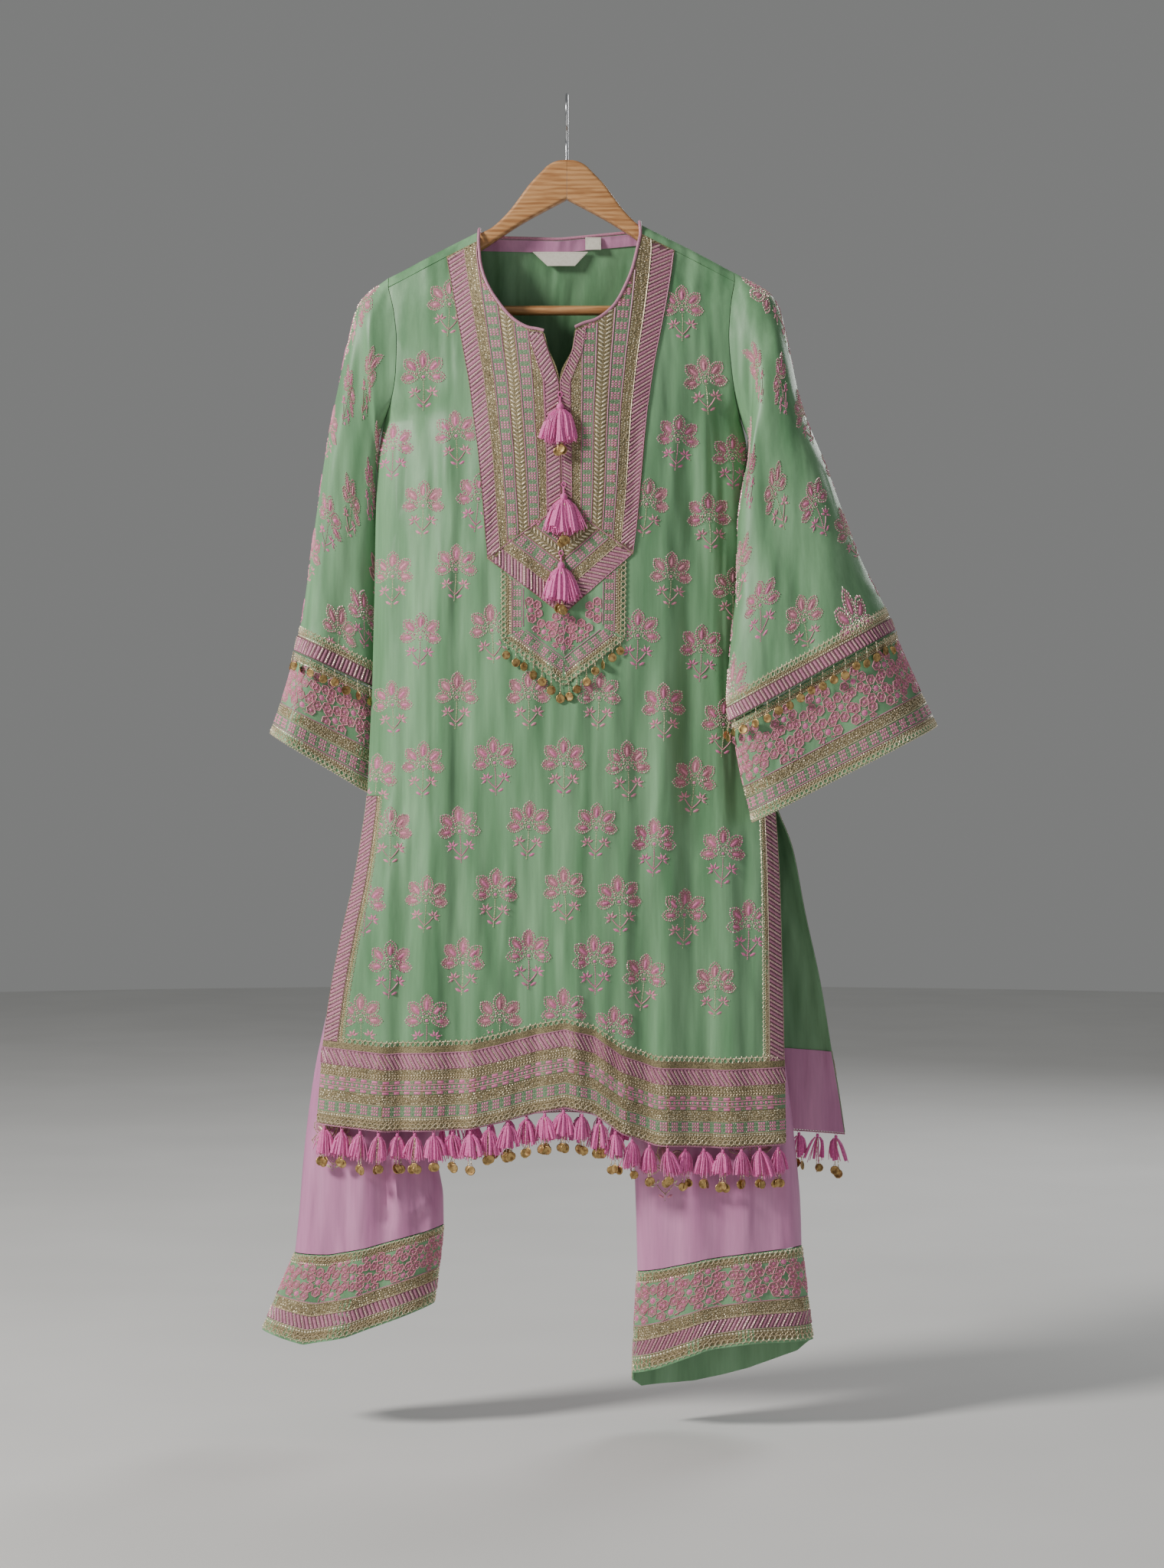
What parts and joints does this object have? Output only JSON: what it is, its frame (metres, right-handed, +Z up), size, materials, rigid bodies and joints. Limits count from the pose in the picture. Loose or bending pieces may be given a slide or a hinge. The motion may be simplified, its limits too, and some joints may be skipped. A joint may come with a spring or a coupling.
{
  "type": "kurta set on a wooden hanger",
  "caption": "Embroidered knee-length tunic with notched neck, yoke, flared sleeves, side slits and tasselled hem over straight trousers, hung on a wooden hanger with a steel hook.",
  "frame": {"origin": "inside of the hook's top, where it rests on a clothes rod", "axes": "+Z up, the front faces -Y, +X to the right as seen from the front"},
  "size_m": [0.7546, 0.1886, 1.4583],
  "materials": {
    "kurta_cloth": "soft satin weave with embroidered flower sprigs",
    "embroidered_border": "metallic braid, satin-stitch tiles and flowers",
    "gota_ribbon": "pink ribbon bars with gold thread",
    "piping_cord": "satin",
    "pink_satin": "satin",
    "tassel_thread": "silky thread",
    "label_tape": "woven tape, blank",
    "wood": "satin lacquer",
    "steel": "polished wire"
  },
  "bodies": {
    "root": {"front_panel": "kurta_cloth", "back_panel": "kurta_cloth", "sleeve_left": "kurta_cloth", "sleeve_right": "kurta_cloth", "yoke": "embroidered_border", "yoke_bib": "embroidered_border", "front_hem_border": "embroidered_border", "back_hem_border": "embroidered_border", "cuff_left": "embroidered_border", "cuff_right": "embroidered_border", "leg_band_left": "embroidered_border", "leg_band_right": "embroidered_border", "front_slit_border_left": "gota_ribbon", "front_slit_border_right": "gota_ribbon", "back_slit_border_left": "gota_ribbon", "back_slit_border_right": "gota_ribbon", "sleeve_gota_band_left": "gota_ribbon", "sleeve_gota_band_right": "gota_ribbon", "neck_piping": "piping_cord", "back_hem_facing": "pink_satin", "back_neck_facing": "pink_satin", "leg_front_left": "pink_satin", "leg_front_right": "pink_satin", "leg_back_left": "pink_satin", "leg_back_right": "pink_satin", "waistband": "pink_satin", "hanger_loop_left": "pink_satin", "hanger_loop_right": "pink_satin", "tassel_string_front": "tassel_thread", "tassel_string_back": "tassel_thread", "placket_tassel_1": "tassel_thread", "placket_tassel_2": "tassel_thread", "placket_tassel_3": "tassel_thread", "neck_label": "label_tape", "neck_tag": "label_tape", "hanger_wood_left": "wood", "hanger_wood_right": "wood", "hanger_bar": "wood", "hanger_hook": "steel"}
  },
  "joints": []
}
